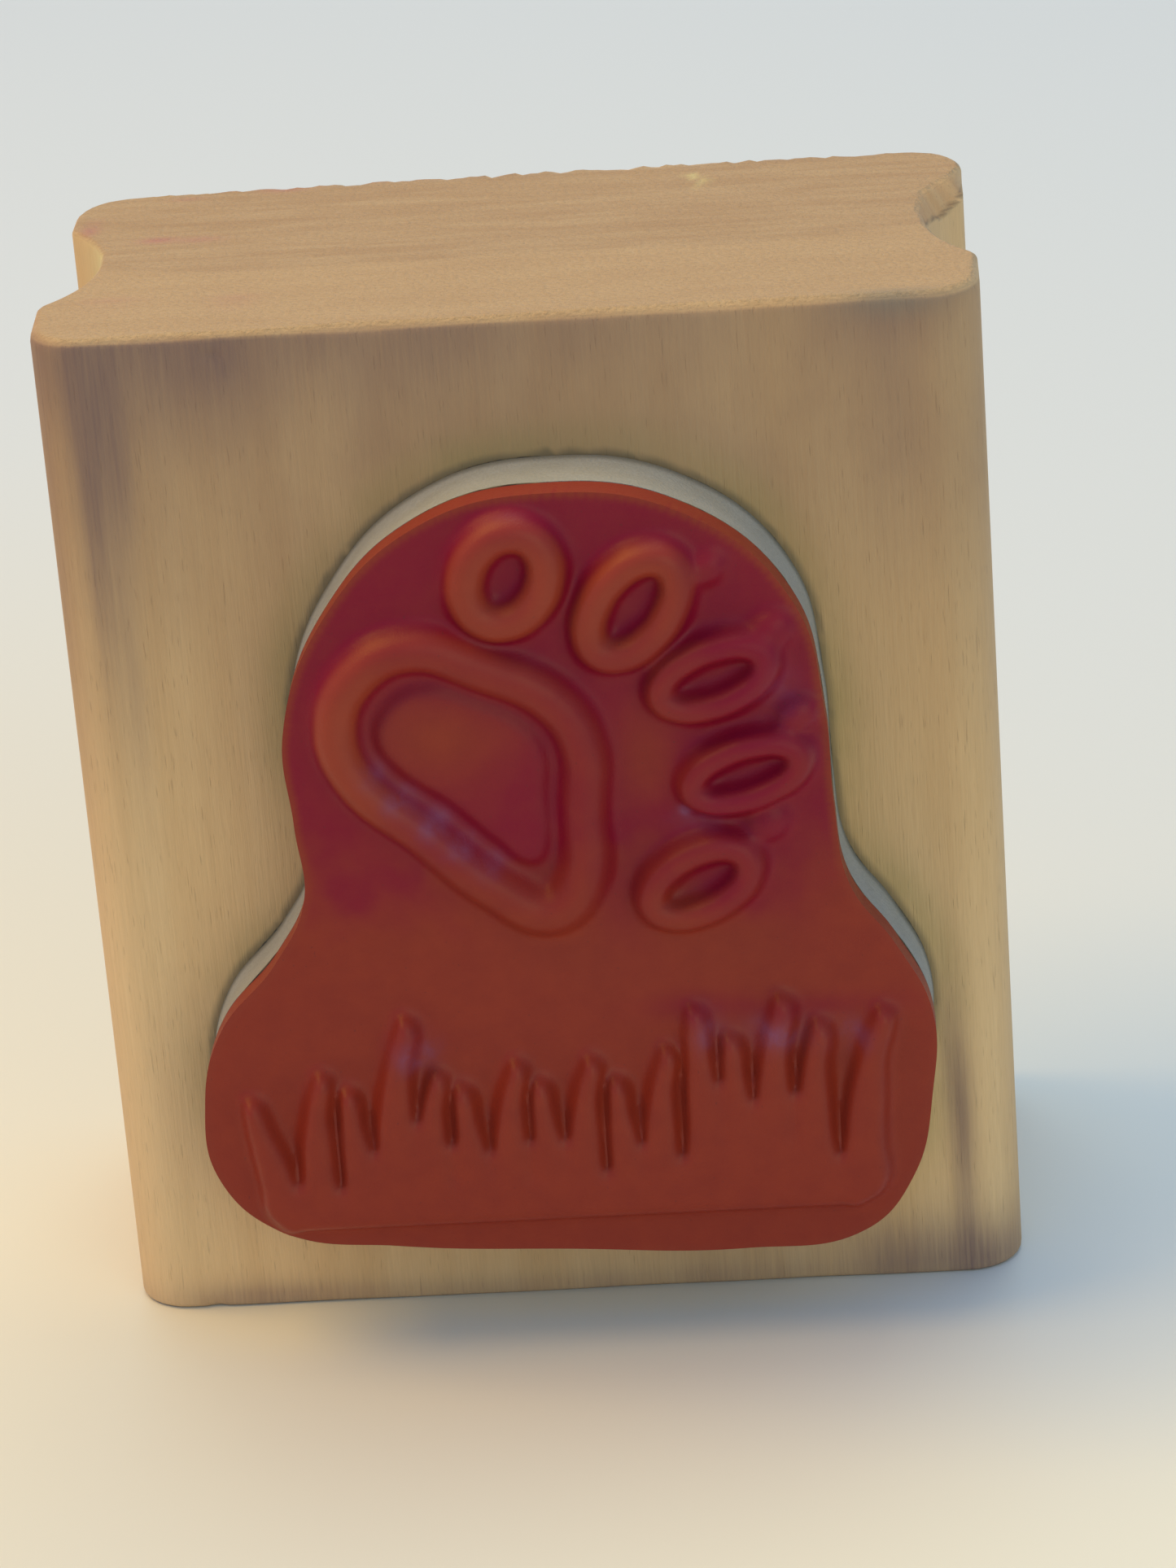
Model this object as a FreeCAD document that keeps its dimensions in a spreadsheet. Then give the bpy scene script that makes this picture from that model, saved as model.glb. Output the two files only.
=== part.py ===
import FreeCAD, Part
import math
import os
import Sketcher
from FreeCAD import Vector

# A wood-mounted rubber stamp, standing on one end of its block.
# X runs across the block, Y from the printing side (low) to the crown that the palm
# presses (high), and Z along the grain. The origin is the middle of the block's lower end.

SIZES = [
    ("block_width", 50.8),      # across the grain, a 2 in moulding
    ("block_depth", 25.4),      # from the printing face to the crown, 1 in
    ("block_length", 58.8),     # cut from the moulding, 2 5/16 in
    ("face_round", 3.0),        # rounded corners beside the printing face
    ("crown_round", 3.4),       # rounded corners beside the crown
    ("crown_radius", 760.0),    # the crown is very slightly domed
    ("crown_inset", 0.3),       # the crown side is this much narrower on each flank
    ("cove_radius", 9.8),       # the finger groove run along each flank
    ("cove_depth", 2.6),
    ("cove_centre", 13.0),      # the groove's middle, behind the printing face
    ("cove_shoulder", 1.3),     # rounding where the groove meets the flank
    ("end_ease", 0.35),         # sanded edge round each sawn end
    ("film", 0.1),              # adhesive film on either side of the cushion
    ("cushion", 3.9),           # foam cushion
    ("rubber_base", 1.6),       # moulded sheet that carries the relief
    ("relief", 1.2),            # height of the printing relief over the sheet
    ("inner_step", 0.4),        # height of the step inside the pad ridge
]

doc = FreeCAD.newDocument("rubber_stamp")
sheet = doc.addObject("Spreadsheet::Sheet", "Sizes")
for row, (alias, value) in enumerate(SIZES, start=1):
    sheet.set(f"A{row}", alias)
    sheet.set(f"B{row}", str(value))
    sheet.setAlias(f"B{row}", alias)
doc.recompute()


def size(alias):
    return float(sheet.get(alias))


def new_body(label, in_front="0"):
    """A body placed in front of the printing face by a length worked out from the sheet."""
    body = doc.addObject("PartDesign::Body", label)
    body.Label = label
    body.setExpression("Placement.Base.y", f"-Sizes.block_depth / 2 - ({in_front})")
    return body


def plane(body, role):
    """One of the body's own origin planes."""
    return next(o for o in body.Origin.OriginFeatures if o.Role == role)


def new_sketch(body, name, role, offset=None):
    """A sketch on an origin plane, lifted off it by a length worked out from the sheet."""
    sketch = body.newObject("Sketcher::SketchObject", name)
    sketch.AttachmentSupport = [(plane(body, role), "")]
    sketch.MapMode = "FlatFace"
    if offset:
        sketch.setExpression("AttachmentOffset.Base.z", offset)
    return sketch


def pad(body, name, sketch, length):
    """Pads a sketch by a length worked out from the sheet."""
    feature = body.newObject("PartDesign::Pad", name)
    feature.Profile = sketch
    feature.setExpression("Length", length)
    sketch.Visibility = False
    return feature


def arc(centre, radius, start, end):
    """A counter-clockwise arc in the sketch's plane, between two angles in degrees."""
    circle = Part.Circle(Vector(*centre, 0), Vector(0, 0, 1), radius)
    return Part.ArcOfCircle(circle, math.radians(start), math.radians(end))


def closed_curve(points):
    """A smooth closed curve through the points, given as pairs across and up."""
    curve = Part.BSplineCurve()
    curve.interpolate([Vector(x, z, 0) for x, z in points], PeriodicFlag=True)
    return curve


# ---- wood block: a length of moulding, one half of its section drawn and mirrored ----

def moulding_half(sketch):
    """Half of the block's section: printing face, flank, finger groove, flank and crown."""
    half = size("block_width") / 2
    depth = size("block_depth")
    near, far = size("face_round"), size("crown_round")
    inset, dome = size("crown_inset"), size("crown_radius")
    cove, soft = size("cove_radius"), size("cove_shoulder")
    cove_x = half - size("cove_depth") + cove
    cove_y = size("cove_centre")

    # a shoulder arc touches the flank and the groove, so its centre is at the sum of radii
    near_x, far_x = half - soft, half - inset - soft
    near_y = cove_y - math.sqrt((cove + soft) ** 2 - (cove_x - near_x) ** 2)
    far_y = cove_y + math.sqrt((cove + soft) ** 2 - (cove_x - far_x) ** 2)
    near_turn = math.degrees(math.atan2(cove_y - near_y, cove_x - near_x))
    far_turn = math.degrees(math.atan2(far_y - cove_y, cove_x - far_x))

    # the corner beside the crown touches the flank and the domed crown
    dome_y = depth - dome
    corner_x = half - inset - far
    corner_y = dome_y + math.sqrt((dome - far) ** 2 - corner_x ** 2)
    lean = math.degrees(math.atan2(corner_x, corner_y - dome_y))

    line = Part.LineSegment
    crown_start = Vector(0, depth, 0)
    parts = [
        line(Vector(0, 0, 0), Vector(half - near, 0, 0)),
        arc((half - near, near), near, -90, 0),
        line(Vector(half, near, 0), Vector(half, near_y, 0)),
        arc((near_x, near_y), soft, 0, near_turn),
        arc((cove_x, cove_y), cove, 180 - far_turn, 180 + near_turn),
        arc((far_x, far_y), soft, -far_turn, 0),
        line(Vector(half - inset, far_y, 0), Vector(half - inset, corner_y, 0)),
        arc((corner_x, corner_y), far, 0, 90 - lean),
        arc((0, dome_y), dome, 90 - lean, 90),
        line(crown_start, Vector(0, 0, 0)),
    ]
    face, corner, flank, shoulder, groove, shoulder_2, flank_2, corner_2, crown, middle = (
        sketch.addGeometry(part, False) for part in parts
    )

    start, end, centre, root = 1, 2, 3, -1
    rule = Sketcher.Constraint
    sketch.addConstraint([
        rule("Coincident", face, start, root, 1),
        rule("Horizontal", face),
        rule("Tangent", face, end, corner, start),
        rule("Tangent", corner, end, flank, start),
        rule("Vertical", flank),
        rule("Tangent", flank, end, shoulder, start),
        rule("Tangent", shoulder, end, groove, end),
        rule("Tangent", groove, start, shoulder_2, start),
        rule("Tangent", shoulder_2, end, flank_2, start),
        rule("Vertical", flank_2),
        rule("Tangent", flank_2, end, corner_2, start),
        rule("Tangent", corner_2, end, crown, start),
        rule("Coincident", crown, end, middle, start),
        rule("Coincident", middle, end, face, start),
        rule("Vertical", middle),
        rule("PointOnObject", crown, centre, -2),
    ])
    driven = [
        ("Radius", (corner,), near, "Sizes.face_round"),
        ("DistanceX", (root, 1, flank, start), half, "Sizes.block_width / 2"),
        ("Radius", (shoulder,), soft, "Sizes.cove_shoulder"),
        ("Radius", (shoulder_2,), soft, "Sizes.cove_shoulder"),
        ("Radius", (groove,), cove, "Sizes.cove_radius"),
        ("DistanceX", (root, 1, groove, centre), cove_x,
         "Sizes.block_width / 2 - Sizes.cove_depth + Sizes.cove_radius"),
        ("DistanceY", (root, 1, groove, centre), cove_y, "Sizes.cove_centre"),
        ("DistanceX", (root, 1, flank_2, start), half - inset,
         "Sizes.block_width / 2 - Sizes.crown_inset"),
        ("Radius", (corner_2,), far, "Sizes.crown_round"),
        ("Radius", (crown,), dome, "Sizes.crown_radius"),
        ("DistanceY", (root, 1, crown, end), depth, "Sizes.block_depth"),
    ]
    for kind, where, value, formula in driven:
        index = sketch.addConstraint(rule(kind, *where, value))
        sketch.setExpression(f"Constraints[{index}]", formula)


block = new_body("wood_block")
section = new_sketch(block, "block_section", "XY_Plane")
moulding_half(section)
half_block = pad(block, "half_block", section, "Sizes.block_length")

whole_block = block.newObject("PartDesign::Mirrored", "whole_block")
whole_block.Originals = [half_block]
whole_block.MirrorPlane = (plane(block, "YZ_Plane"), [""])
whole_block.Refine = True
block.Tip = whole_block
doc.recompute()


def sawn_edges(shape, length):
    """The edges round the two sawn ends."""
    names = []
    for number, edge in enumerate(shape.Edges, start=1):
        box = edge.BoundBox
        if box.ZLength < 1e-6 and (box.ZMin < 1e-6 or box.ZMax > length - 1e-6):
            names.append(f"Edge{number}")
    return names


ease = block.newObject("PartDesign::Fillet", "sanded_ends")
ease.Base = (whole_block, sawn_edges(whole_block.Shape, size("block_length")))
ease.setExpression("Radius", "Sizes.end_ease")
block.Tip = ease


# ---- cushion, its two adhesive films and the rubber sheet: one knife cuts them together ----

# The cut follows the design: a wide foot, a waist and a round head. Across and up.
CUT = [
    (1.5, 50.9), (-5.1, 49.3), (-10.3, 44.4), (-13.0, 38.0), (-12.9, 32.5), (-12.8, 28.0),
    (-14.7, 24.4), (-18.1, 20.4), (-19.4, 16.0), (-19.0, 11.2), (-15.8, 7.8), (-9.5, 6.6),
    (0.0, 5.9), (10.0, 5.4), (16.6, 6.2), (19.4, 9.4), (20.7, 14.6), (20.9, 19.6),
    (19.1, 23.7), (16.8, 27.4), (16.2, 32.0), (16.0, 37.5), (14.6, 44.1), (9.3, 49.3),
]


def cut_layer(label, in_front, thickness):
    """A layer cut to the outline, in front of the printing face by what lies between."""
    body = new_body(label, in_front)
    outline = new_sketch(body, f"{label}_outline", "XZ_Plane")
    outline.addGeometry(closed_curve(CUT), False)
    pad(body, f"{label}_sheet", outline, thickness)
    return body


cut_layer("block_adhesive", "0", "Sizes.film")
cut_layer("foam_cushion", "Sizes.film", "Sizes.cushion")
cut_layer("die_adhesive", "Sizes.film + Sizes.cushion", "Sizes.film")
die = cut_layer("rubber_die", "2 * Sizes.film + Sizes.cushion", "Sizes.rubber_base")


# ---- relief on the rubber die, moulded in one with its sheet ----

# A paw: the ridge round the main pad, as its outer and inner edges, across and up.
PAD_OUTER = [
    (-5.9, 43.9), (-9.6, 42.1), (-11.3, 38.5), (-10.4, 34.9), (-6.8, 31.0), (-2.6, 27.0),
    (0.8, 25.2), (3.4, 27.3), (4.1, 32.4), (4.3, 37.0), (2.7, 40.2), (-1.6, 42.5),
]
PAD_INNER = [
    (-6.0, 41.3), (-8.2, 40.1), (-9.0, 38.0), (-7.9, 36.0), (-4.5, 33.3), (-1.5, 30.3),
    (0.6, 28.6), (1.3, 29.8), (1.5, 33.4), (1.6, 36.4), (0.5, 38.2), (-2.6, 40.1),
]
STEP_IN = 0.75  # the step inside the pad follows its ridge at this share of the opening

# Five toes, each a ring round a dimple: middle across and up, long and short half-widths, lean
TOES = [
    (-0.4, 46.4, 3.7, 2.8, 62),
    (6.2, 44.4, 4.2, 2.6, 52),
    (10.2, 40.1, 3.8, 2.1, 20),
    (11.6, 34.6, 3.9, 2.1, 17),
    (8.8, 28.3, 3.9, 2.6, 28),
]
DIMPLE_SHARE = 0.42  # the dimple's half-widths, as a share of its toe's

# A row of grass blades, each from its foot to its tip: across at the foot, across at the
# tip, height, width
GRASS_FOOT = 8.8
BLADES = [
    (-15.4, -17.0, 7.4, 1.7),
    (-13.3, -12.9, 8.8, 1.7),
    (-11.2, -11.6, 7.8, 1.6),
    (-9.1, -8.0, 12.0, 1.8),
    (-6.9, -6.5, 8.6, 1.6),
    (-4.8, -5.3, 7.7, 1.6),
    (-2.7, -2.1, 9.0, 1.6),
    (-0.6, -1.0, 7.8, 1.6),
    (1.5, 2.0, 9.0, 1.6),
    (3.6, 3.2, 7.7, 1.6),
    (5.7, 6.2, 9.4, 1.6),
    (7.8, 7.7, 11.8, 1.7),
    (9.9, 9.6, 10.0, 1.6),
    (12.1, 12.6, 12.2, 1.8),
    (14.4, 14.6, 10.6, 1.7),
    (16.7, 18.1, 11.2, 1.8),
]


def toward(points, share):
    """The points, drawn in towards their own middle to a share of their distance."""
    middle_x = sum(x for x, _ in points) / len(points)
    middle_z = sum(z for _, z in points) / len(points)
    return [(middle_x + share * (x - middle_x), middle_z + share * (z - middle_z))
            for x, z in points]


def oval(across, up, long_half, short_half, lean):
    """An ellipse in the sketch's plane, leaning by degrees from level."""
    turn = math.radians(lean)
    middle = Vector(across, up, 0)
    along = Vector(math.cos(turn), math.sin(turn), 0)
    side = Vector(-math.sin(turn), math.cos(turn), 0)
    return Part.Ellipse(middle + along * long_half, middle + side * short_half, middle)


def blade(foot, tip, height, width):
    """A pointed leaf drawn with two arcs that meet at its foot and at its tip."""
    low = Vector(foot, GRASS_FOOT, 0)
    high = Vector(tip, GRASS_FOOT + height, 0)
    middle = (low + high) / 2
    side = Vector(high.y - low.y, low.x - high.x, 0).normalize() * width / 2
    return [Part.Arc(low, middle + side, high), Part.Arc(high, middle - side, low)]


def relief(name, curves, height):
    """Raises a group of closed curves above the rubber sheet."""
    sketch = new_sketch(die, f"{name}_outline", "XZ_Plane", "Sizes.rubber_base")
    for curve in curves:
        sketch.addGeometry(curve, False)
    return pad(die, name, sketch, height)


toe_curves = []
for across, up, long_half, short_half, lean in TOES:
    toe_curves.append(oval(across, up, long_half, short_half, lean))
    toe_curves.append(oval(across, up, long_half * DIMPLE_SHARE, short_half * DIMPLE_SHARE, lean))

relief("pad_ridge", [closed_curve(PAD_OUTER), closed_curve(PAD_INNER)], "Sizes.relief")
relief("pad_step", [closed_curve(toward(PAD_INNER, STEP_IN))], "Sizes.inner_step")
relief("toes", toe_curves, "Sizes.relief")
relief("grass", [edge for row in BLADES for edge in blade(*row)], "Sizes.relief")


# ---- checks and export ----

doc.recompute()
bodies = [o for o in doc.Objects if o.TypeId == "PartDesign::Body"]
for thing in doc.Objects:
    if "Invalid" in thing.State or "Error" in thing.State:
        raise RuntimeError(f"{thing.Name} failed: {thing.State}")
for body in bodies:
    if body.Shape.isNull() or not body.Shape.isValid() or len(body.Shape.Solids) != 1:
        raise RuntimeError(f"{body.Label} is not one valid solid")

os.makedirs("parts", exist_ok=True)
for body in bodies:
    body.Shape.exportStep(f"parts/{body.Label}.step")
    box = body.Shape.BoundBox
    print(f"{body.Label}: {box.XLength:.2f} x {box.YLength:.2f} x {box.ZLength:.2f} mm, "
          f"{body.Shape.Volume:.0f} mm3, y {box.YMin:.2f} to {box.YMax:.2f}")
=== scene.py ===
import math

import bmesh
import bpy
from mathutils import Matrix, Vector, noise
from mathutils.kdtree import KDTree


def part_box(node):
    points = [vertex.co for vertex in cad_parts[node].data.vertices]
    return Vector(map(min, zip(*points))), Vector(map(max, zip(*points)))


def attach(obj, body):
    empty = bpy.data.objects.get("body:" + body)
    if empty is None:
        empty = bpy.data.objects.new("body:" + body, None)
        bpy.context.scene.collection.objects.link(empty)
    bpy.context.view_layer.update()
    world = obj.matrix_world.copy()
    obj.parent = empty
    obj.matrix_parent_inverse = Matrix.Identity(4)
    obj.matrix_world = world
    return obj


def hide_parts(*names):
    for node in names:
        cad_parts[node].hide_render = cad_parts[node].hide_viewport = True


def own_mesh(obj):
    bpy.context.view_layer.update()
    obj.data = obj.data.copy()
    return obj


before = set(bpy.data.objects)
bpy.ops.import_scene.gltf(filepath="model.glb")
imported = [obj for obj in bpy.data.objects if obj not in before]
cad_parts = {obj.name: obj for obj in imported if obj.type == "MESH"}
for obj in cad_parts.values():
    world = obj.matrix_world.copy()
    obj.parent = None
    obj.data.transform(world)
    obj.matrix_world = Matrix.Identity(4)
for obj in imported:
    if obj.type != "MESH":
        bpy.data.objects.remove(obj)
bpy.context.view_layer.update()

MM = 0.001
block_low, block_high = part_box("wood_block")
foam_low, foam_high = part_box("foam_cushion")
die_low, die_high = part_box("rubber_die")


# ---- table, light and camera ----
# The stamp stands on one sawn end on a plain pale table. A warm lamp hangs high at its
# left and a broad one high behind it, so the room and the table light its printing side.

AIM_HEIGHT = 30 * MM
AZIMUTH = math.radians(3.511)
ELEVATION = math.radians(23.849)
ROLL = math.radians(-4.473)
DISTANCE = 293.351 * MM
SIDESTEP = 2.631 * MM
RISE = 1.63 * MM
FOCAL_LENGTH = 122.6
TABLE_SIZE = 3.0


def aim(thing, place, target):
    """Puts a lamp at a place, turned to shine at a target."""
    thing.location = place
    thing.rotation_euler = (Vector(target) - Vector(place)).to_track_quat("-Z", "Y").to_euler()


def soft_lamp(name, place, target, size, power, colour):
    """A square area lamp, like a window or a softbox."""
    data = bpy.data.lights.new(name, "AREA")
    data.shape = "SQUARE"
    data.size = size
    data.energy = power
    data.color = colour
    lamp = bpy.data.objects.new(name, data)
    bpy.context.collection.objects.link(lamp)
    aim(lamp, place, target)


backward = Vector((math.sin(AZIMUTH) * math.cos(ELEVATION),
                   -math.cos(AZIMUTH) * math.cos(ELEVATION),
                   math.sin(ELEVATION)))
level_right = (-backward).cross(Vector((0, 0, 1))).normalized()
level_up = backward.cross(level_right)
right = math.cos(ROLL) * level_right + math.sin(ROLL) * level_up
up = math.cos(ROLL) * level_up - math.sin(ROLL) * level_right
aim_point = Vector((0, block_low.y, AIM_HEIGHT))
eye = aim_point + DISTANCE * backward + SIDESTEP * right + RISE * up

lens = bpy.data.cameras.new("camera")
lens.lens = FOCAL_LENGTH
camera = bpy.data.objects.new("camera", lens)
bpy.context.collection.objects.link(camera)
camera.matrix_world = Matrix.Translation(eye) @ Matrix((right, up, backward)).transposed().to_4x4()
bpy.context.scene.camera = camera

soft_lamp("desk_lamp", (-0.37, -0.03, 0.596), (0, 0, 0.02), 0.40, 2.75, (1.0, 0.60, 0.08))
soft_lamp("ceiling", (0, 0.262, 0.755), (0, 0, 0.02), 0.50, 2.25, (0.97, 1.0, 0.71))
soft_lamp("room", (0.34, -0.64, 0.34), (0, 0, 0.02), 0.60, 1.36, (1.0, 0.96, 0.42))

sky = bpy.data.worlds.new("room")
bpy.context.scene.world = sky
sky.use_nodes = True
sky.node_tree.nodes["Background"].inputs["Color"].default_value = (0.38, 0.59, 1.0, 1)
sky.node_tree.nodes["Background"].inputs["Strength"].default_value = 0.65
bpy.context.scene.view_settings.view_transform = "Standard"

bpy.ops.object.select_all(action="DESELECT")
bpy.ops.mesh.primitive_grid_add(x_subdivisions=4, y_subdivisions=4, size=TABLE_SIZE)
table = bpy.context.object
table.name = "table"


def new_material(name, roughness, specular=0.5):
    """A new material and its shader, with roughness and specular level set."""
    material = bpy.data.materials.new(name)
    material.use_nodes = True
    shader = material.node_tree.nodes["Principled BSDF"]
    shader.inputs["Roughness"].default_value = roughness
    shader.inputs["Specular IOR Level"].default_value = specular
    return material, shader


def add_node(tree, kind, **values):
    """A node with its settings and the values of its named inputs."""
    node = tree.nodes.new(kind)
    for key, value in values.items():
        if key in node.inputs:
            node.inputs[key].default_value = value
        else:
            setattr(node, key, value)
    return node


def join(tree, source, target):
    """Links an output socket to an input socket."""
    tree.links.new(source, target)


def worked(tree, operation, first, second=0.0):
    """A Math node on sockets or plain numbers, and its result."""
    node = add_node(tree, "ShaderNodeMath", operation=operation)
    for socket, value in zip(node.inputs, (first, second)):
        if isinstance(value, (int, float)):
            socket.default_value = value
        else:
            join(tree, value, socket)
    return node.outputs[0]


def tinted(tree, base, mask, colour):
    """A colour laid over another where a mask says."""
    node = add_node(tree, "ShaderNodeMix", data_type="RGBA")
    factor, first, second = node.inputs[0], node.inputs[6], node.inputs[7]
    for socket, value in ((factor, mask), (first, base), (second, colour)):
        if isinstance(value, (int, float)):
            socket.default_value = value
        elif isinstance(value, tuple):
            socket.default_value = (*value, 1)
        else:
            join(tree, value, socket)
    return node.outputs[2]


def ramp(tree, value, low, high):
    """A value spread from 0 at the low end to 1 at the high end, smoothly."""
    node = add_node(tree, "ShaderNodeMapRange", interpolation_type="SMOOTHSTEP")
    join(tree, value, node.inputs["Value"])
    node.inputs["From Min"].default_value = low
    node.inputs["From Max"].default_value = high
    return node.outputs["Result"]


# The table's own colour shifts gently: warmer at the stamp's left, paler in front of its
# right. It stands in for the uneven light of a room that isn't modelled.
COOL_TOP = (0.730, 0.745, 0.740)
WARM_TOP = (0.800, 0.757, 0.640)
PALE_TOP = (0.850, 0.830, 0.725)
table_paint, table_shader = new_material("pale_table", 0.55)
tree = table_paint.node_tree
place_on_top = tree.nodes.new("ShaderNodeSeparateXYZ")
join(tree, tree.nodes.new("ShaderNodeTexCoord").outputs["Object"], place_on_top.inputs[0])
leftward = worked(tree, "SUBTRACT", 0.0, place_on_top.outputs["X"])
forward = worked(tree, "SUBTRACT", 0.0, place_on_top.outputs["Y"])
warm = worked(tree, "SUBTRACT", 1.0, ramp(tree, place_on_top.outputs["Y"], 0.03, 0.16))
warm = worked(tree, "MULTIPLY", warm, ramp(tree, leftward, -0.035, 0.040))
near = ramp(tree, forward, 0.018, 0.045)
near = worked(tree, "MULTIPLY", near, ramp(tree, place_on_top.outputs["X"], -0.03, 0.01))
table_colour = tinted(tree, COOL_TOP, warm, WARM_TOP)
join(tree, tinted(tree, table_colour, near, PALE_TOP), table_shader.inputs["Base Color"])
table.data.materials.append(table_paint)


# ---- wood block ----
# A length of pale hardwood moulding, sawn off square at both ends and left bare: a flat
# printing face, a finger groove run along each flank and a faintly domed crown. The sawn
# edges are sanded by hand, and use has worn, nicked and stained them.

HALF_WIDTH = 25.4 * MM
FACE_ROUND = 3.0 * MM
CROWN_ROUND = 3.4 * MM
CROWN_RADIUS = 760 * MM
CROWN_INSET = 0.3 * MM
COVE_RADIUS = 9.8 * MM
COVE_DEPTH = 2.6 * MM
COVE_CENTRE = 13.0 * MM
COVE_SHOULDER = 1.3 * MM
END_EASE = 0.35 * MM
ACROSS_STEPS = 150
ROUND_STEPS = 8
SHOULDER_STEPS = 5
GROOVE_STEPS = 56
EASE_STEPS = 5
LENGTH_STEPS = 126
EASE_ROOM = 0.72 * MM


def turned(centre, radius, start, end, steps, inward=False):
    """Places along an arc of the section, each with the direction out of the wood."""
    found = []
    for step in range(steps + 1):
        turn = start + (end - start) * step / steps
        away = Vector((math.cos(turn), math.sin(turn)))
        found.append((Vector(centre) + radius * away, -away if inward else away))
    return found


face_y = block_low.y
cove_x = HALF_WIDTH - COVE_DEPTH + COVE_RADIUS
cove_y = face_y + COVE_CENTRE
near_x = HALF_WIDTH - COVE_SHOULDER
far_x = near_x - CROWN_INSET
reach = COVE_RADIUS + COVE_SHOULDER
near_y = cove_y - math.sqrt(reach ** 2 - (cove_x - near_x) ** 2)
far_y = cove_y + math.sqrt(reach ** 2 - (cove_x - far_x) ** 2)
near_turn = math.atan2(cove_y - near_y, cove_x - near_x)
far_turn = math.atan2(far_y - cove_y, cove_x - far_x)
dome_y = block_high.y - CROWN_RADIUS
corner_x = HALF_WIDTH - CROWN_INSET - CROWN_ROUND
corner_y = dome_y + math.sqrt((CROWN_RADIUS - CROWN_ROUND) ** 2 - corner_x ** 2)
lean = math.atan2(corner_x, corner_y - dome_y)
quarter = math.pi / 2

flank = turned((HALF_WIDTH - FACE_ROUND, face_y + FACE_ROUND), FACE_ROUND, -quarter, 0, ROUND_STEPS)
flank += turned((near_x, near_y), COVE_SHOULDER, 0, near_turn, SHOULDER_STEPS)
flank += turned((cove_x, cove_y), COVE_RADIUS, math.pi + near_turn, math.pi - far_turn,
                GROOVE_STEPS, inward=True)[1:]
flank += turned((far_x, far_y), COVE_SHOULDER, -far_turn, 0, SHOULDER_STEPS)[1:]
flank += turned((corner_x, corner_y), CROWN_ROUND, 0, quarter - lean, ROUND_STEPS)

ease_turns = [quarter * step / EASE_STEPS for step in range(EASE_STEPS + 1)]
level_count = 2 * EASE_STEPS + LENGTH_STEPS
level_heights = [EASE_ROOM]
for step in range(LENGTH_STEPS // 2):
    growth = 1 - math.exp(-max(step - 9, 0) / 5)
    level_heights.append(level_heights[-1] + (0.11 + 0.44 * growth) * MM)
stretch = (block_high.z / 2 - EASE_ROOM) / (level_heights[LENGTH_STEPS // 2 - 1] - EASE_ROOM)
level_heights = [EASE_ROOM + (height - EASE_ROOM) * stretch for height in level_heights]


def ease_radius(across, depth, top):
    """The sanded edge's radius round an end, larger where the block has been knocked."""
    radius = END_EASE
    if top and depth < face_y + FACE_ROUND:
        radius += 0.22 * MM + 0.20 * MM * noise.noise(Vector((across / (5 * MM), 3.1, 0.4)))
    if not top:
        radius += 0.10 * MM * noise.noise(Vector((across / (6 * MM), 8.3, depth / (6 * MM))))
    return max(radius, 0.2 * MM)


SPLIT_LINE = [  # depth, across and height of the face left where a splinter tore off, in mm
    (-2.4, 23.2, 0.00),
    (-1.6, 22.9, 0.25),
    (1.7, 22.5, 0.95),
    (4.6, 22.8, 1.55),
    (6.4, 23.8, 1.25),
    (8.2, 25.1, 0.60),
]


def smooth_step(value, low, high):
    """Rises smoothly from 0 to 1 between two values."""
    share = min(max((value - low) / (high - low), 0), 1)
    return share * share * (3 - 2 * share)


def split_line(depth):
    """Across and height of the split's face at a depth, in millimetres."""
    for (depth_a, across_a, height_a), (depth_b, across_b, height_b) in zip(SPLIT_LINE, SPLIT_LINE[1:]):
        share = (depth / MM - depth_a) / (depth_b - depth_a)
        if 0 <= share <= 1:
            ragged = 0.10 * noise.noise(Vector((depth / (0.7 * MM), 4.4, 0.7)))
            return (across_a + share * (across_b - across_a),
                    max(height_a + share * (height_b - height_a) + ragged, 0.01))
    return 99, 0


def split_bite(across, depth, drop):
    """How much of the right flank a torn-off splinter took, at a depth and below the end."""
    torn, height = split_line(depth)
    torn += 0.10 * noise.noise(Vector((depth / (0.8 * MM), drop / (4 * MM), 6.1)))
    bite = max(across - torn * MM, 0)
    if bite > 0:
        bite *= 1 - 0.80 * min(drop / (height * MM), 1)
        bite *= 1 - smooth_step(drop, (height - 0.05) * MM, (height + 0.05) * MM)
    return bite


def moulded(cube_place):
    """Takes a place on the subdivided cube to its place on the moulding."""
    row = round((cube_place.y + 1) / 2 * (len(flank) - 1))
    level = round((cube_place.z + 1) / 2 * level_count)
    edge, out = flank[row]
    share = cube_place.x
    if row == len(flank) - 1:
        across = share * edge.x
        edge = Vector((edge.x, dome_y + math.sqrt(CROWN_RADIUS ** 2 - across ** 2)))
        out = Vector((out.x * share, out.y))
    top = level > level_count / 2
    step = min(level, level_count - level)
    radius = ease_radius(share * edge.x, edge.y, top)
    if step <= EASE_STEPS:
        height = radius * (1 - math.cos(ease_turns[step]))
        inset = radius * (1 - math.sin(ease_turns[step]))
    else:
        height, inset = level_heights[step - EASE_STEPS - 1], 0
    bite = split_bite(edge.x, edge.y, height) if top and share > 0 else 0
    if top:
        height = block_high.z - height
    return Vector((share * (edge.x - bite - inset * out.x), edge.y - inset * out.y, height))


def select_along(piece, direction):
    """Selects, in edit mode, the edges that run along a direction."""
    mesh = bmesh.from_edit_mesh(piece.data)
    for edge in mesh.edges:
        run = edge.verts[1].co - edge.verts[0].co
        edge.select_set(abs(run.normalized().dot(direction)) > 0.99)
    mesh.select_flush(False)
    bmesh.update_edit_mesh(piece.data)


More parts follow.
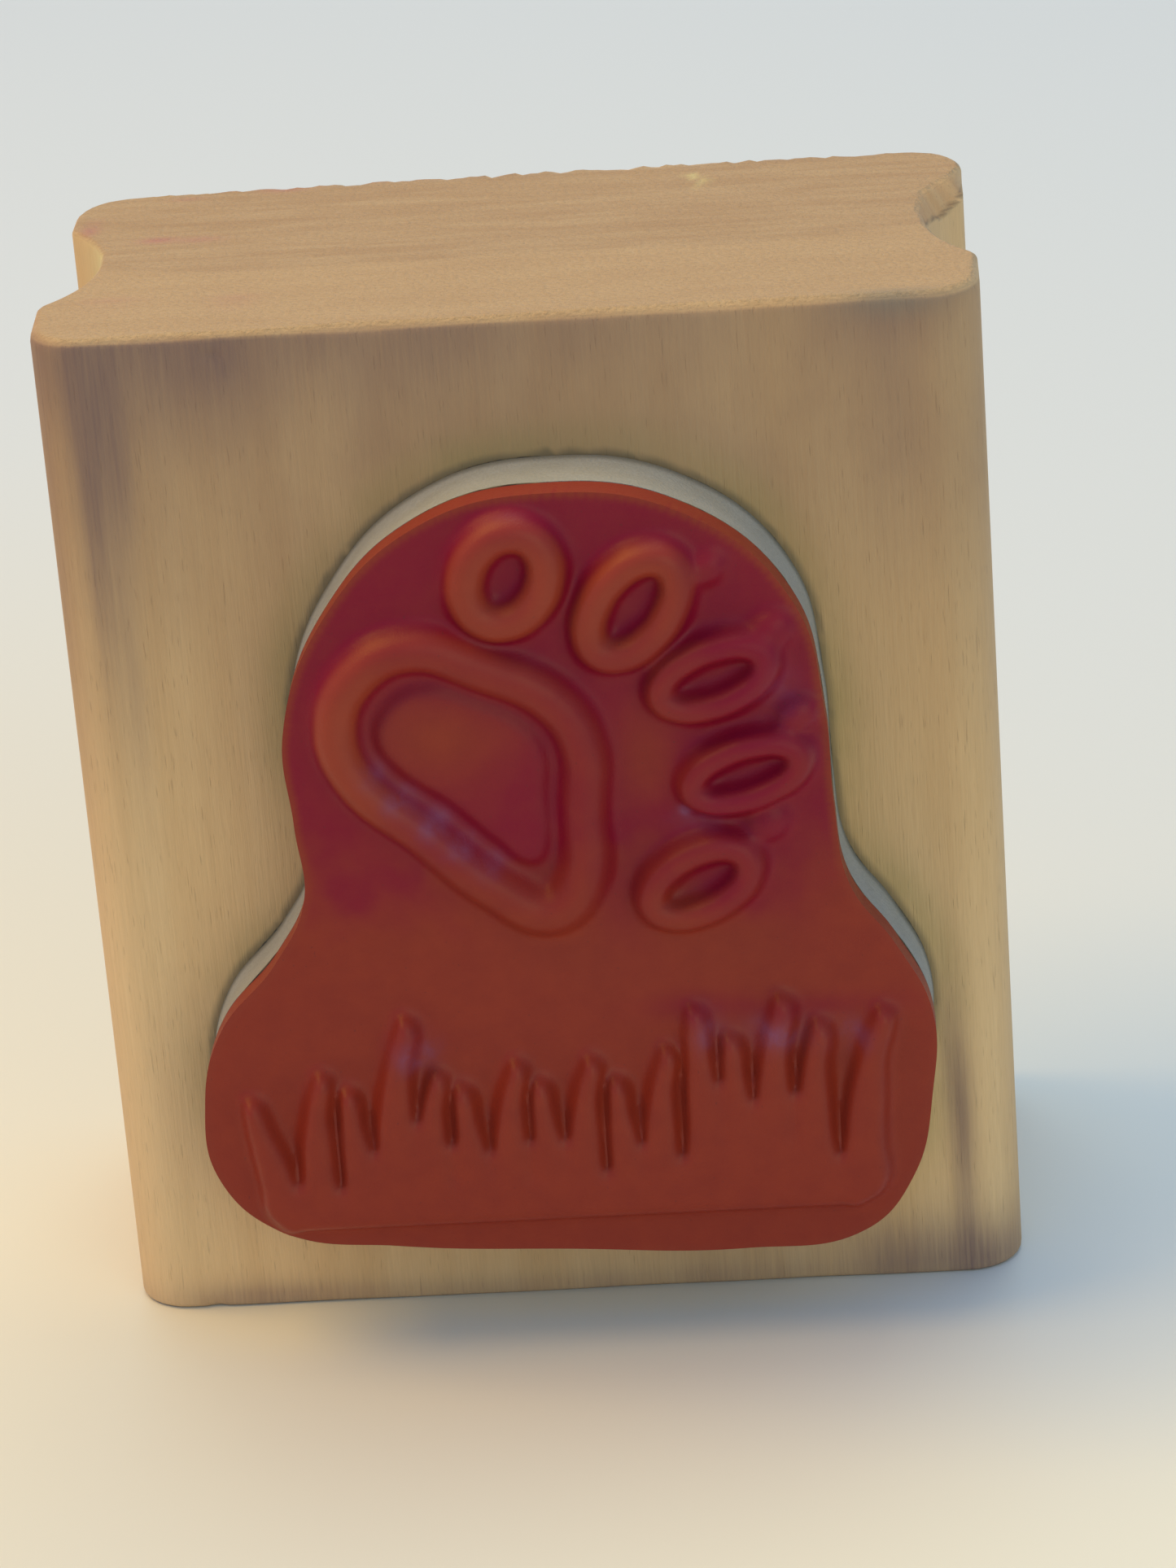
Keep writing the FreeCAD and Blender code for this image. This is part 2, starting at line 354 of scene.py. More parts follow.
bpy.ops.object.select_all(action="DESELECT")
bpy.ops.mesh.primitive_cube_add(size=2)
block = bpy.context.object
block.name = "bare_wood_block"
bpy.ops.object.mode_set(mode="EDIT")
bpy.ops.mesh.select_mode(type="EDGE")
for direction, cuts in (
    (Vector((1, 0, 0)), ACROSS_STEPS - 1),
    (Vector((0, 1, 0)), len(flank) - 2),
    (Vector((0, 0, 1)), level_count - 1),
):
    select_along(block, direction)
    bpy.ops.mesh.subdivide(number_cuts=cuts)
bpy.ops.object.mode_set(mode="OBJECT")
for vertex in block.data.vertices:
    vertex.co = moulded(vertex.co)

# Wear is put in: nicks in the arrises and the torn fibres of the saw cut along
# the crown. Older wear, a splinter off the right groove, is already in the moulding.
DENTS = [  # middle across, depth and height, radius, bite, all in millimetres
    (-15.4, -12.9, 57.6, 0.55, 0.22),
    (-24.7, -1.2, 58.6, 0.9, 0.30),
    (-23.3, 2.0, 58.9, 0.8, 0.25),
    (17.8, 12.9, 58.9, 0.9, 0.30),
    (20.3, 12.6, 58.8, 0.6, 0.25),
    (-9.6, 12.9, 58.9, 0.8, 0.22),
    (4.4, 12.9, 59.0, 0.7, 0.24),
    (23.2, -11.4, 0.0, 1.1, 0.22),
    (-20.8, -12.8, 0.1, 0.8, 0.18),
]


def worn(place, out):
    """A place on the moulding after years of use."""
    bite = 0
    for across, depth, height, radius, depth_bite in DENTS:
        gap = (place - Vector((across, depth, height)) * MM).length
        bite += depth_bite * MM * (1 - smooth_step(gap, 0, radius * MM))
    crown_edge = smooth_step(place.y, 11.6 * MM, 12.6 * MM)
    crown_edge *= smooth_step(place.z, block_high.z - 0.9 * MM, block_high.z - 0.1 * MM)
    torn = 0.5 + noise.noise(Vector((place.x / (0.9 * MM), 2.7, 9.1)))
    torn += 1.1 * noise.noise(Vector((place.x / (0.27 * MM), 5.2, 1.3)))
    bite += 0.15 * MM * crown_edge * max(torn, 0)
    ripple = 0.035 * MM * noise.noise(Vector((place.x / (7 * MM), place.y / (7 * MM), place.z / (30 * MM))))
    return place - out * bite + out * ripple


block.data.update()
moved = [worn(vertex.co.copy(), vertex.normal.copy()) for vertex in block.data.vertices]
for vertex, place in zip(block.data.vertices, moved):
    vertex.co = place
bpy.ops.object.shade_smooth_by_angle(angle=math.radians(40))

# The cushion and the rubber are cut together to one outline, across and up: a wide foot,
# a waist and a round head. The block is faded, stained and inked around it, with a thin
# line of painted shade where the cushion meets it.
CUT = [
    (1.5, 50.9), (-5.1, 49.3), (-10.3, 44.4), (-13.0, 38.0), (-12.9, 32.5), (-12.8, 28.0),
    (-14.7, 24.4), (-18.1, 20.4), (-19.4, 16.0), (-19.0, 11.2), (-15.8, 7.8), (-9.5, 6.6),
    (0.0, 5.9), (10.0, 5.4), (16.6, 6.2), (19.4, 9.4), (20.7, 14.6), (20.9, 19.6),
    (19.1, 23.7), (16.8, 27.4), (16.2, 32.0), (16.0, 37.5), (14.6, 44.1), (9.3, 49.3),
]
OUTLINE_STEPS = 14


def flat_outline(name, points, thickness, steps, bevel=0.0):
    """A flat plate cut to a smooth closed outline, drawn lying down and stood up to face -Y."""
    bpy.ops.object.select_all(action="DESELECT")
    bpy.ops.curve.primitive_bezier_circle_add()
    drawn = bpy.context.object
    drawn.name = name
    drawn.data.dimensions = "2D"
    drawn.data.fill_mode = "BOTH"
    drawn.data.resolution_u = steps
    drawn.data.extrude = thickness / 2 - bevel
    drawn.data.bevel_depth = bevel
    drawn.data.bevel_resolution = 2
    drawn.data.splines.clear()
    line = drawn.data.splines.new("BEZIER")
    line.bezier_points.add(len(points) - 1)
    line.use_cyclic_u = True
    for point, (across, up_block) in zip(line.bezier_points, points):
        point.co = (across * MM, up_block * MM, 0)
        point.handle_left_type = "AUTO"
        point.handle_right_type = "AUTO"
    bpy.ops.object.convert(target="MESH")
    plate = bpy.context.object
    bpy.ops.object.mode_set(mode="EDIT")
    bpy.ops.mesh.select_all(action="SELECT")
    bpy.ops.mesh.remove_doubles(threshold=0.002 * MM)
    bpy.ops.transform.rotate(value=-math.pi / 2, orient_axis="X", center_override=(0, 0, 0))
    bpy.ops.mesh.normals_make_consistent(inside=False)
    bpy.ops.object.mode_set(mode="OBJECT")
    return plate


def move_mesh(piece, offset):
    """Moves a piece's mesh and leaves its object at the origin."""
    bpy.ops.object.select_all(action="DESELECT")
    piece.select_set(True)
    bpy.context.view_layer.objects.active = piece
    bpy.ops.object.mode_set(mode="EDIT")
    bpy.ops.mesh.select_all(action="SELECT")
    bpy.ops.transform.translate(value=offset)
    bpy.ops.object.mode_set(mode="OBJECT")


def middle_of(low, high):
    """The middle of a box's depth."""
    return (low.y + high.y) / 2


foam = flat_outline("foam_pad", CUT, foam_high.y - foam_low.y, OUTLINE_STEPS)
rim = [Vector((v.co.x, 0, v.co.z)) for v in foam.data.vertices]
rim_tree = KDTree(len(rim))
for index, place in enumerate(rim):
    rim_tree.insert(place, index)
rim_tree.balance()
rim_middle = Vector((1, 0, 26)) * MM


def outside_cut(place):
    """How far a place on the printing face lies outside the cut outline, below 0 inside."""
    flat = Vector((place.x, 0, place.z))
    nearest, index, gap = rim_tree.find(flat)
    inward = (rim_middle - nearest).dot(flat - nearest) > 0
    return -gap if inward else gap


STAINS = [  # across, up, half width, half height, strength: mauve-brown dirt on the printing face
    (-20.0, 58.4, 6.5, 5.0, 0.85),
    (-22.5, 55.0, 0.9, 6.5, 0.75),
    (-21.0, 52.0, 0.7, 5.5, 0.65),
    (-22.7, 46.5, 0.7, 8.0, 0.70),
    (-21.5, 41.0, 0.5, 8.0, 0.32),
    (-25.3, 48.0, 1.0, 14.0, 0.35),
    (-14.8, 57.6, 0.25, 0.9, 0.80),
    (-8.0, 58.8, 12.0, 5.0, 0.60),
    (8.0, 59.2, 10.0, 3.4, 0.34),
    (20.6, 58.8, 3.4, 3.6, 0.70),
    (20.5, 50.0, 2.2, 7.0, 0.25),
    (22.3, 9.5, 0.6, 7.0, 0.95),
    (21.6, 14.0, 0.4, 5.0, 0.40),
    (23.6, 1.2, 2.6, 2.4, 0.62),
    (18.5, 1.6, 3.2, 2.2, 0.40),
    (-17.0, 0.6, 5.0, 1.2, 0.55),
    (0.0, 0.2, 24.0, 1.1, 0.52),
    (13.0, 1.6, 12.0, 2.4, 0.28),
]
PAINTED_LIGHT = [  # the same, for painted light: paler patches low on the right and the left of the printing face
    (21.5, 14.0, 3.4, 10.0, 0.16),
    (-23.0, 8.0, 5.0, 22.0, 0.25),
]
PALE_YELLOW_PATCH = [  # depth, up, half depth, half height, strength: a pale yellow patch near the top of the left groove
    (1.0, 57.0, 3.6, 4.0, 0.85),
]
LOOSE = [  # across, depth, half widths and strength: a loose pale fibre lying on the sawn end
    (9.8, 10.1, 0.26, 0.28, 0.85),
    (10.2, 9.5, 0.24, 0.28, 0.90),
    (10.7, 8.8, 0.26, 0.28, 0.90),
    (11.1, 8.2, 0.26, 0.28, 0.90),
    (11.5, 7.7, 0.26, 0.26, 0.80),
]
INKED = [  # across, depth, half widths and strength: pink ink on the upper sawn end
    (-19.9, 3.9, 1.0, 0.50, 0.62),
    (-17.5, 3.6, 1.3, 0.55, 0.36),
    (-13.3, 12.0, 1.3, 0.50, 0.50),
    (-18.8, 11.2, 0.9, 0.35, 0.32),
    (-24.0, 6.3, 0.5, 0.90, 0.60),
    (-21.5, -6.2, 1.7, 0.60, 0.18),
    (-14.5, -6.8, 1.3, 0.50, 0.18),
]
RING_LINE = [  # across and depth of the growth ring that shows on the upper sawn end
    (-26.0, -0.2), (-22.7, -0.8), (-16.3, -2.4), (-4.8, -2.4), (3.4, -2.2), (12.3, -2.8),
    (16.7, -2.2), (22.9, -1.2), (26.0, -0.8),
]


def ring_gap(place):
    """How far in front of the growth ring a place on the end lies, in millimetres."""
    for (across_a, depth_a), (across_b, depth_b) in zip(RING_LINE, RING_LINE[1:]):
        share = (place.x / MM - across_a) / (across_b - across_a)
        if 0 <= share <= 1:
            wave = 0.25 * noise.noise(Vector((place.x / (3 * MM), 1.9, 3.3)))
            return depth_a + share * (depth_b - depth_a) + wave - place.y / MM
    return 0


def spot(gap_a, gap_b):
    """A soft round spot: 1 in its middle and 0 from about twice its half widths outward."""
    return math.exp(-(gap_a * gap_a + gap_b * gap_b))


def paint(piece, name, values):
    """Stores one number per vertex, for a material to read."""
    layer = piece.data.attributes.new(name, "FLOAT", "POINT")
    layer.data.foreach_set("value", values)


def marks(spots, first, second):
    """The sum of a list of soft spots at a place, given by its two coordinates."""
    return sum(s * spot((first / MM - a) / w, (second / MM - b) / h) for a, b, w, h, s in spots)


painted = {"dirt": [], "painted_light": [], "contact": [], "ink": [], "sawn": [], "upper": [], "ring": [],
           "smudge": [], "pale_yellow": [], "torn": [], "split_step_shade": []}
for vertex in block.data.vertices:
    place = vertex.co
    top = place.z > block_high.z / 2
    on_face = 1 - smooth_step(place.y, face_y + 1.4 * MM, face_y + 4.6 * MM)
    on_face *= 1 - smooth_step(place.z, block_high.z - 0.45 * MM, block_high.z - 0.05 * MM)
    on_end = 1 - smooth_step(min(place.z, block_high.z - place.z), 0, 0.25 * MM)
    patchy = 0.95 + 0.25 * noise.noise(Vector((place.x / (3.5 * MM), 0.5, place.z / (8 * MM))))
    smudged = spot((place.x / MM - 20.8) / 2.6, (place.y / MM + 12.6) / 0.8) if top else 0
    ringed = smooth_step(ring_gap(place), -0.25, 0.25) if top else 0.5
    painted["dirt"].append(min(on_face * marks(STAINS, place.x, place.z) * patchy, 1))
    # painted light: paler patches low on the printing face, where it was lit brighter
    painted["painted_light"].append(min(on_face * marks(PAINTED_LIGHT, place.x, place.z), 1))
    painted["contact"].append(outside_cut(place) / MM if on_face > 0.9 else 30.0)
    # a dark reddish line along the back edge of the upper sawn end, in the ink's colour
    back_edge_line = smooth_step(place.y, 12.0 * MM, 12.5 * MM) * (1 - smooth_step(place.x, -14 * MM, 2 * MM))
    back_edge_line *= on_end * (0.6 + 0.8 * noise.noise(Vector((place.x / (1.6 * MM), 3.2, 6.6))))
    painted["ink"].append(on_end * marks(INKED, place.x, place.y) + max(0.7 * back_edge_line, 0) if top else 0)
    in_groove = smooth_step(-place.x, 22.4 * MM, 22.7 * MM) * (1 - on_face) * (1 - on_end)
    loose = on_end * marks(LOOSE, place.x, place.y) if top else 0
    painted["pale_yellow"].append(min(in_groove * marks(PALE_YELLOW_PATCH, place.y, place.z) + loose, 1))
    torn, split_height = split_line(place.y)
    below = (block_high.z - place.z) / MM - split_height
    beside = top and place.x / MM > torn - 0.2 and torn < 90
    grain = 0.85 + 0.5 * noise.noise(Vector((place.y / (0.5 * MM), 2.2, place.z / (5 * MM))))
    painted["torn"].append(grain * (1 - smooth_step(below, -0.1, 0.1)) * (1 - on_end) if beside else 0)
    # painted shade: a dark line along the lower edge of the splinter's torn face, under its step
    painted["split_step_shade"].append(math.exp(-(below / 0.10) ** 2) * (1 - on_end) if beside else 0)
    painted["sawn"].append(on_end)
    # darker towards the top of the printing face: partly a stain, partly painted shade
    painted["upper"].append(on_face * smooth_step(place.z, 22 * MM, 57 * MM))
    painted["ring"].append(ringed * on_end)
    painted["smudge"].append(smudged * (1 - on_face * smooth_step(block_high.z - place.z, 0, 2 * MM)))
for name, values in painted.items():
    paint(block, name, values)


def new_group(name, inputs, outputs):
    """A shader node group with named number, vector and colour sockets."""
    group = bpy.data.node_groups.new(name, "ShaderNodeTree")
    for socket, kind, value in inputs:
        made = group.interface.new_socket(socket, in_out="INPUT", socket_type=kind)
        if value is not None:
            made.default_value = value
    for socket, kind in outputs:
        group.interface.new_socket(socket, in_out="OUTPUT", socket_type=kind)
    return group, group.nodes.new("NodeGroupInput"), group.nodes.new("NodeGroupOutput")


NUMBER, VECTOR, COLOUR = "NodeSocketFloat", "NodeSocketVector", "NodeSocketColor"

# patches: a mask of soft patches, from a noise stretched by the Size vector
patches, patches_in, patches_out = new_group(
    "patches",
    [("Size", VECTOR, (1, 1, 1)), ("Detail", NUMBER, 3.0), ("From", NUMBER, 0.4), ("To", NUMBER, 0.6),
     ("Shift", NUMBER, 0.0)],
    [("Mask", NUMBER), ("Plain", NUMBER)],
)
where = patches.nodes.new("ShaderNodeTexCoord")
stretch = add_node(patches, "ShaderNodeVectorMath", operation="DIVIDE")
shifted = add_node(patches, "ShaderNodeVectorMath", operation="ADD")
cloud = add_node(patches, "ShaderNodeTexNoise", Scale=1.0, Roughness=0.55)
spread = patches.nodes.new("ShaderNodeMapRange")
join(patches, where.outputs["Object"], stretch.inputs[0])
join(patches, patches_in.outputs["Size"], stretch.inputs[1])
join(patches, stretch.outputs[0], shifted.inputs[0])
join(patches, patches_in.outputs["Shift"], shifted.inputs[1])
join(patches, shifted.outputs[0], cloud.inputs["Vector"])
join(patches, patches_in.outputs["Detail"], cloud.inputs["Detail"])
join(patches, cloud.outputs["Fac"], spread.inputs["Value"])
join(patches, patches_in.outputs["From"], spread.inputs["From Min"])
join(patches, patches_in.outputs["To"], spread.inputs["From Max"])
join(patches, spread.outputs["Result"], patches_out.inputs["Mask"])
join(patches, cloud.outputs["Fac"], patches_out.inputs["Plain"])


def add_patches(tree, size, detail, low, high, shift=0.0):
    """A patches group in a material, its size given in millimetres each way."""
    node = tree.nodes.new("ShaderNodeGroup")
    node.node_tree = patches
    node.inputs["Size"].default_value = [length * MM for length in size]
    node.inputs["Detail"].default_value = detail
    node.inputs["From"].default_value = low
    node.inputs["To"].default_value = high
    node.inputs["Shift"].default_value = shift
    return node.outputs


def attribute(tree, name):
    """A number painted on the piece's vertices."""
    return add_node(tree, "ShaderNodeAttribute", attribute_name=name).outputs["Fac"]


def bumped(tree, shader, height, distance, strength=1.0):
    """Feeds a height to the shader's normal through a Bump node."""
    node = add_node(tree, "ShaderNodeBump", Strength=strength, Distance=distance)
    join(tree, height, node.inputs["Height"])
    join(tree, node.outputs["Normal"], shader.inputs["Normal"])


wood, wood_shader = new_material("bare_wood", 0.62, 0.28)
tree = wood.node_tree
fibre = add_patches(tree, (0.24, 0.24, 7.0), 3.0, 0.30, 0.70)
fine_fibre = add_patches(tree, (0.09, 0.09, 2.4), 2.0, 0.34, 0.66)
fuzz = add_patches(tree, (0.32, 0.22, 0.4), 3.0, 0.36, 0.66, 2.9)
rings = add_patches(tree, (10.0, 1.7, 260.0), 3.0, 0.36, 0.68, 3.7)
thin_rings = add_patches(tree, (5.0, 0.50, 200.0), 2.0, 0.40, 0.68, 9.2)
boards = add_patches(tree, (3.0, 60.0, 60.0), 3.0, 0.34, 0.66, 1.4)
pores = add_patches(tree, (0.10, 0.10, 1.6), 1.0, 0.66, 0.76, 5.0)
blotches = add_patches(tree, (5.0, 6.0, 8.0), 4.0, 0.34, 0.68, 7.3)

side_colour = tinted(tree, (0.81, 0.550, 0.285), boards["Mask"], (0.72, 0.460, 0.220))
side_colour = tinted(tree, side_colour, worked(tree, "MULTIPLY", rings["Mask"], 0.30), (0.66, 0.42, 0.20))
end_colour = tinted(tree, (0.535, 0.365, 0.200), rings["Mask"], (0.470, 0.305, 0.163))
end_colour = tinted(tree, end_colour, worked(tree, "MULTIPLY", attribute(tree, "ring"), 0.40),
                    (0.590, 0.395, 0.205))
thin = worked(tree, "MULTIPLY", thin_rings["Mask"], worked(tree, "SUBTRACT", 0.34, attribute(tree, "ring")))
end_colour = tinted(tree, end_colour, worked(tree, "MAXIMUM", thin, 0.0), (0.380, 0.215, 0.100))
end_colour = tinted(tree, end_colour, worked(tree, "MULTIPLY", fuzz["Mask"], 0.30), (0.33, 0.20, 0.10))
colour = tinted(tree, side_colour, attribute(tree, "sawn"), end_colour)
colour = tinted(tree, colour, worked(tree, "MULTIPLY", fibre["Mask"], 0.11), (0.42, 0.25, 0.12))
colour = tinted(tree, colour, worked(tree, "MULTIPLY", fine_fibre["Mask"], 0.12), (0.36, 0.21, 0.10))
colour = tinted(tree, colour, worked(tree, "MULTIPLY", pores["Mask"], 0.25), (0.20, 0.11, 0.06))
# painted light: paler wood low on the right and left of the printing face, where it was lit brighter
colour = tinted(tree, colour, attribute(tree, "painted_light"), (0.90, 0.68, 0.40))
# a pale yellow patch near the top of the left groove, and the loose fibre on the sawn end
colour = tinted(tree, colour, attribute(tree, "pale_yellow"), (0.72, 0.62, 0.27))
colour = tinted(tree, colour, worked(tree, "MULTIPLY", attribute(tree, "torn"), 0.85), (0.60, 0.33, 0.15))
# painted shade: a dark line along the lower edge of the splinter's torn face, under its step
colour = tinted(tree, colour, worked(tree, "MULTIPLY", attribute(tree, "split_step_shade"), 0.7), (0.16, 0.10, 0.06))
# darker brown towards the top of the printing face: partly a stain, partly painted shade, as the lower face
# gets more light from the table
stain_and_shade_high = worked(tree, "ADD", 0.58, worked(tree, "MULTIPLY", blotches["Mask"], 0.20))
stain_and_shade_high = worked(tree, "MULTIPLY", attribute(tree, "upper"), stain_and_shade_high)
colour = tinted(tree, colour, stain_and_shade_high, (0.345, 0.205, 0.120))
halo = worked(tree, "SUBTRACT", 1.0, ramp(tree, attribute(tree, "contact"), 0.2, 3.0))
halo = worked(tree, "MULTIPLY", halo, worked(tree, "ADD", 0.15, blotches["Mask"]))
colour = tinted(tree, colour, worked(tree, "MULTIPLY", halo, 0.50), (0.40, 0.30, 0.12))
# painted shade: a thin dark line on the wood just outside the cushion, where it meets the block
line = worked(tree, "SUBTRACT", 1.0, ramp(tree, attribute(tree, "contact"), 0.05, 0.6))
colour = tinted(tree, colour, worked(tree, "MULTIPLY", line, 0.60), (0.12, 0.105, 0.070))
grime = worked(tree, "ADD", 0.80, worked(tree, "MULTIPLY", fibre["Mask"], 0.25))
grime = worked(tree, "MULTIPLY", attribute(tree, "dirt"), grime)
colour = tinted(tree, colour, worked(tree, "MULTIPLY", grime, 0.88), (0.205, 0.126, 0.112))
smudge = worked(tree, "MULTIPLY", attribute(tree, "smudge"), 0.65)
colour = tinted(tree, colour, smudge, (0.25, 0.215, 0.165))
colour = tinted(tree, colour, attribute(tree, "ink"), (0.46, 0.17, 0.15))
join(tree, colour, wood_shader.inputs["Base Color"])
height = worked(tree, "ADD", fibre["Plain"], worked(tree, "MULTIPLY", fine_fibre["Plain"], 0.6))
height = worked(tree, "SUBTRACT", height, worked(tree, "MULTIPLY", pores["Mask"], 0.5))
sawn_fuzz = worked(tree, "MULTIPLY", attribute(tree, "sawn"), fuzz["Plain"])
height = worked(tree, "ADD", height, worked(tree, "MULTIPLY", sawn_fuzz, 5.0))
bumped(tree, wood_shader, height, 0.05 * MM, 0.7)
block.data.materials.append(wood)
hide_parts("wood_block")
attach(block, "block")


# ---- foam cushion ----
# A pad of soft closed-cell foam, sticky on both faces, cut with the rubber and pressed
# onto the block. Its cut edge is pale grey, faintly pinched and pitted with fine cells.

FOAM_LAYERS = 12
PINCH = 0.16 * MM
move_mesh(foam, (0, middle_of(foam_low, foam_high), 0))
bpy.ops.object.mode_set(mode="EDIT")
bpy.ops.mesh.select_mode(type="EDGE")
select_along(foam, Vector((0, 1, 0)))
bpy.ops.mesh.subdivide(number_cuts=FOAM_LAYERS - 1)
bpy.ops.object.mode_set(mode="OBJECT")
foam.data.update()
depths = []
for vertex in foam.data.vertices:
    share = (vertex.co.y - foam_low.y) / (foam_high.y - foam_low.y)
    depths.append(1 - share)
    waist = math.sin(math.pi * share)
    cells = noise.noise(vertex.co * 2600) * 0.035 * MM
    away = Vector((vertex.normal.x, 0, vertex.normal.z))
    vertex.co += away * (cells * waist - PINCH * waist)
paint(foam, "front", depths)
bpy.ops.object.shade_smooth_by_angle(angle=math.radians(50))

foam_skin, foam_shader = new_material("grey_foam", 0.85, 0.25)
tree = foam_skin.node_tree
cells = add_patches(tree, (0.16, 0.16, 0.16), 2.0, 0.40, 0.62)
smears = add_patches(tree, (2.6, 1.6, 2.6), 3.0, 0.38, 0.66, 4.1)
pits = worked(tree, "MULTIPLY", cells["Mask"], 0.35)
colour = tinted(tree, (0.40, 0.40, 0.375), pits, (0.29, 0.29, 0.265))
colour = tinted(tree, colour, worked(tree, "MULTIPLY", smears["Mask"], 0.30), (0.30, 0.285, 0.225))
# painted shade: a dark band along the cushion's edge next to the block, where the two meet
block_side_shade = worked(tree, "SUBTRACT", 1.0, ramp(tree, attribute(tree, "front"), 0.0, 0.18))
colour = tinted(tree, colour, worked(tree, "MULTIPLY", block_side_shade, 0.7), (0.115, 0.105, 0.075))
join(tree, colour, foam_shader.inputs["Base Color"])
bumped(tree, foam_shader, cells["Plain"], 0.08 * MM, 0.8)
foam.data.materials.append(foam_skin)
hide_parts("foam_cushion")
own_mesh(foam)
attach(foam, "block")


# ---- adhesive films ----
# Two films of clear acrylic adhesive, a tenth of a millimetre thick, hold the cushion to
# the block and the rubber to the cushion. Their edges have yellowed and gathered dirt.

film, film_shader = new_material("old_adhesive", 0.45)
tree = film.node_tree
lint = add_patches(tree, (0.5, 0.5, 0.5), 3.0, 0.42, 0.62, 2.2)
colour = tinted(tree, (0.16, 0.135, 0.085), lint["Mask"], (0.07, 0.06, 0.045))
join(tree, colour, film_shader.inputs["Base Color"])
bumped(tree, film_shader, lint["Plain"], 0.05 * MM)
for name in ("block_adhesive", "die_adhesive"):
    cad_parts[name].data.materials.clear()
    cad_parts[name].data.materials.append(film)


# ---- rubber die ----
# A sheet of red vulcanised rubber moulded in one with its relief, a paw over a row of
# grass, then trimmed with a knife. Dried magenta ink fills its hollows and its upper half.

PAD_OUTER = [
    (-5.9, 43.9), (-9.6, 42.1), (-11.3, 38.5), (-10.4, 34.9), (-6.8, 31.0), (-2.6, 27.0),
    (0.8, 25.2), (3.4, 27.3), (4.1, 32.4), (4.3, 37.0), (2.7, 40.2), (-1.6, 42.5),
]
PAD_INNER = [
    (-6.0, 41.3), (-8.2, 40.1), (-9.0, 38.0), (-8.3, 35.5), (-5.0, 32.6), (-1.9, 29.7),
    (0.6, 28.6), (1.3, 29.8), (1.5, 33.4), (1.6, 36.4), (0.5, 38.2), (-2.6, 40.1),
]
PAD_STEP = [
    (-5.4, 40.1), (-7.1, 39.2), (-7.8, 37.5), (-6.9, 35.9), (-4.2, 33.7), (-1.8, 31.3),
    (-0.1, 30.0), (0.5, 30.9), (0.6, 33.8), (0.7, 36.2), (-0.2, 37.7), (-2.6, 39.2),
]
TOES = [  # middle across and up, long and short half-widths, lean in degrees
    (-0.4, 46.4, 3.8, 3.2, 62),
    (6.2, 44.4, 4.2, 2.9, 52),
    (10.2, 40.2, 3.9, 2.4, 20),
    (11.6, 34.6, 3.9, 2.25, 17),
    (8.8, 28.3, 3.9, 2.6, 28),
]
CLAWS = [  # middle across and up, half-width and height of the small mounds past the toes
    (10.2, 46.2, 1.2, 0.55),
    (13.3, 42.4, 1.5, 0.75),
    (14.5, 37.6, 1.3, 0.75),
    (12.6, 31.4, 1.4, 0.65),
]
GRASS_FOOT = 8.8
BLADES = [  # across at the foot, across at the tip, height, width
    (-15.4, -17.0, 7.4, 1.63),
    (-13.3, -12.9, 8.8, 1.55),
    (-11.2, -11.6, 7.8, 1.48),
    (-9.1, -8.0, 12.0, 1.78),
    (-6.9, -6.5, 8.6, 1.55),
    (-4.8, -5.3, 7.7, 1.48),
    (-2.7, -2.1, 9.0, 1.55),
    (-0.6, -1.0, 7.8, 1.48),
    (1.5, 2.0, 9.0, 1.55),
    (3.6, 3.2, 7.7, 1.48),
    (5.7, 6.2, 9.4, 1.55),
    (7.8, 7.7, 11.8, 1.70),
    (9.9, 9.6, 10.0, 1.55),
    (12.1, 12.6, 12.2, 1.78),
    (14.4, 14.6, 10.6, 1.70),
    (16.7, 18.1, 11.2, 1.85),
]
RELIEF = 1.2
STEP_HEIGHT = 0.4
RIDGE_RADIUS = 1.45
TOE_ROLL = 1.2
TOE_ROLL_SHARE = 0.36
TOE_FLOOR_SHARE = 0.8
TOE_FLOOR_HEIGHT = 0.15
RING_POINTS = 10
GRASS_HEIGHT = 0.95
GROUND_ABOVE = 0.8
GROUND_BELOW = 0.45
BLANK_SHARE = 1.06
BLANK_THICKNESS = 3.2 * MM
KNIFE_REACH = 6 * MM
SINK = 1.0
VOXEL = 0.17 * MM
SOFTENING = 20
FLATTEN = 0.3
DRAW_OUT = 4.1
sheet_y = die_low.y + RELIEF * MM
die_back = die_high.y


def toward(points, share):
    """The points, drawn in towards their own middle to a share of their distance."""
    middle_x = sum(x for x, _ in points) / len(points)
    middle_z = sum(z for _, z in points) / len(points)
    return [(middle_x + share * (x - middle_x), middle_z + share * (z - middle_z)) for x, z in points]


def rolled_ridge(name, points, radii, top):
    """A round-topped closed ridge that follows the points, its top so far above the sheet."""
    bpy.ops.object.select_all(action="DESELECT")
    bpy.ops.curve.primitive_bezier_circle_add()
    ridge = bpy.context.object
    ridge.name = name
    ridge.data.resolution_u = 8
    ridge.data.bevel_depth = MM
    ridge.data.bevel_resolution = 6
    ridge.data.splines.clear()
    line = ridge.data.splines.new("BEZIER")
    line.bezier_points.add(len(points) - 1)
    line.use_cyclic_u = True
    for point, (across, up_block), radius in zip(line.bezier_points, points, radii):
        point.co = (across * MM, sheet_y - (top - radius) * MM, up_block * MM)
        point.radius = radius
        point.handle_left_type = "AUTO"
        point.handle_right_type = "AUTO"
    bpy.ops.object.convert(target="MESH")
    return bpy.context.object


